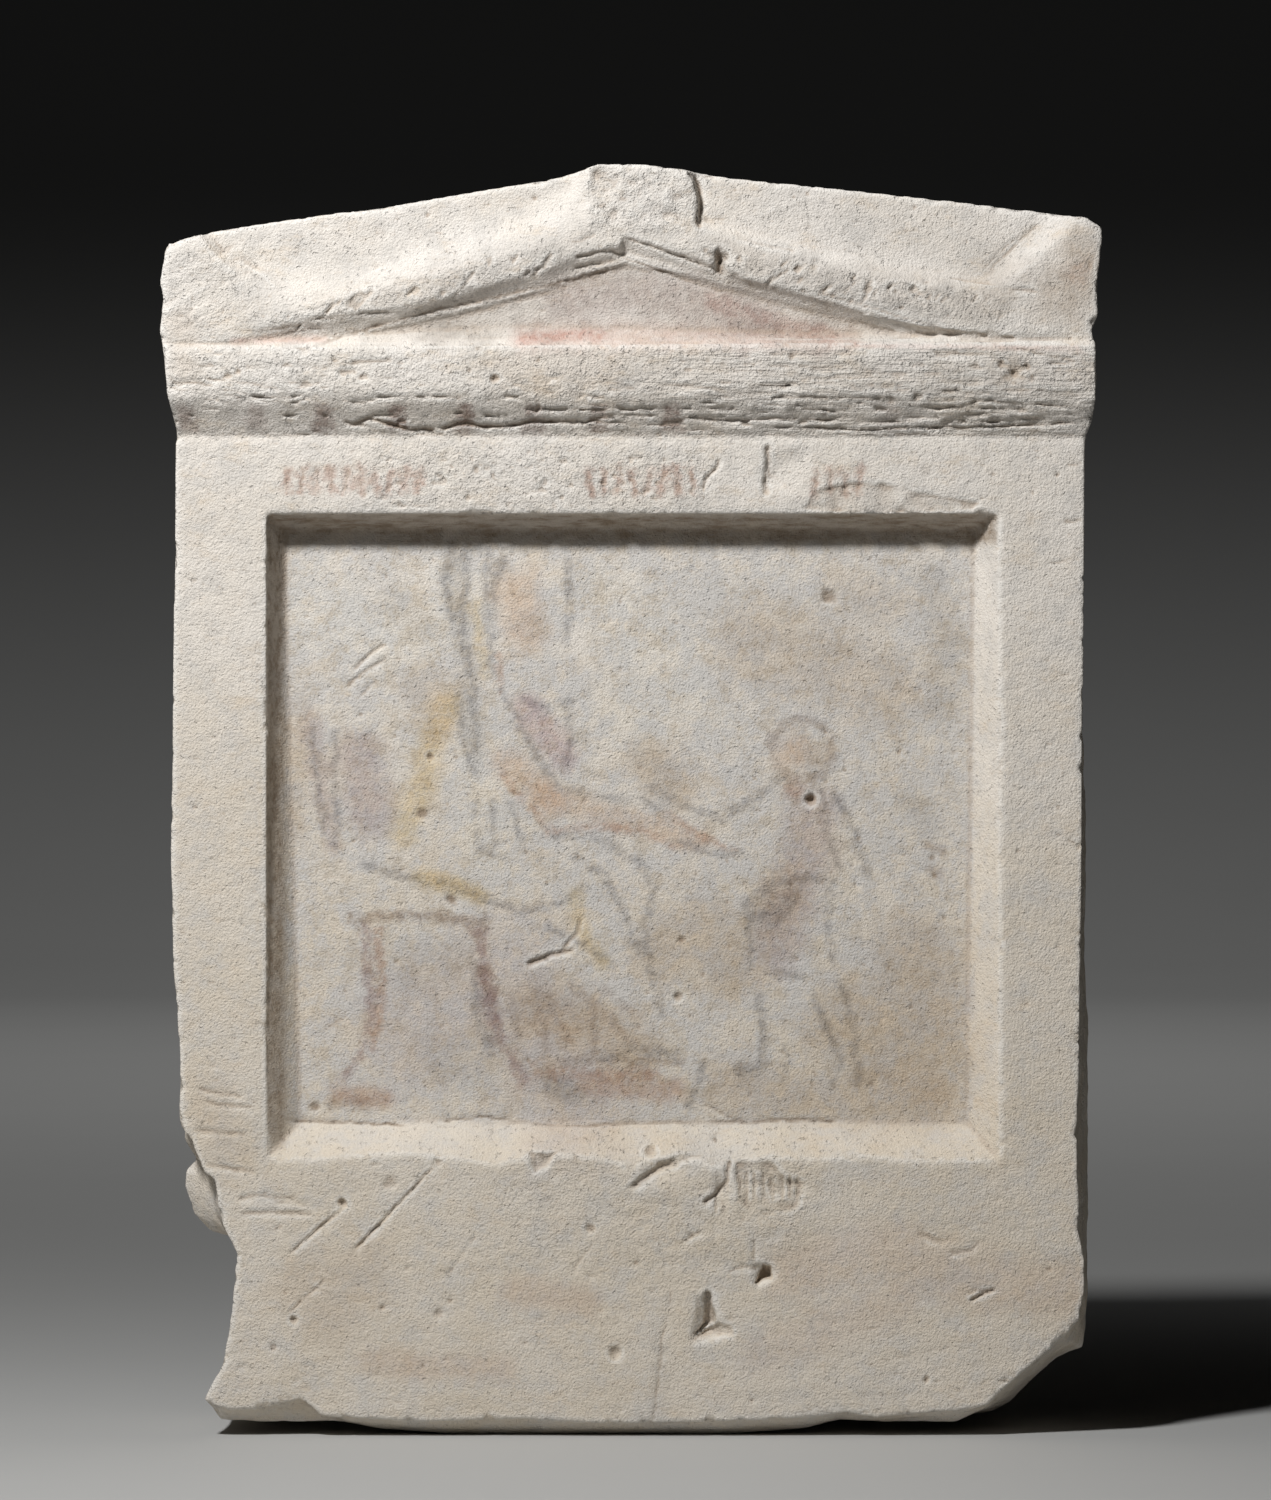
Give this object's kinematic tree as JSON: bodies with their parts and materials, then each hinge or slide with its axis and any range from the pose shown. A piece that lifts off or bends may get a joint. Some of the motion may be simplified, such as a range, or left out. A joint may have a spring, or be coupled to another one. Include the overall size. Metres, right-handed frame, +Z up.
{
  "type": "carved stone stele",
  "caption": "Small pedimented grave stele cut from one block of limestone, with a sunk panel holding a faded painted scene, and broken lower corners.",
  "frame": {"origin": "middle of the underside of the stele's box", "axes": "+Z up, +Y towards the back, so the carved front faces -Y, +X to the right as seen from the front"},
  "size_m": [0.296, 0.078, 0.4],
  "materials": {
    "limestone": "dry, worn and finely pitted, with faded paint"
  },
  "bodies": {
    "root": {"stele": "limestone"}
  },
  "joints": []
}
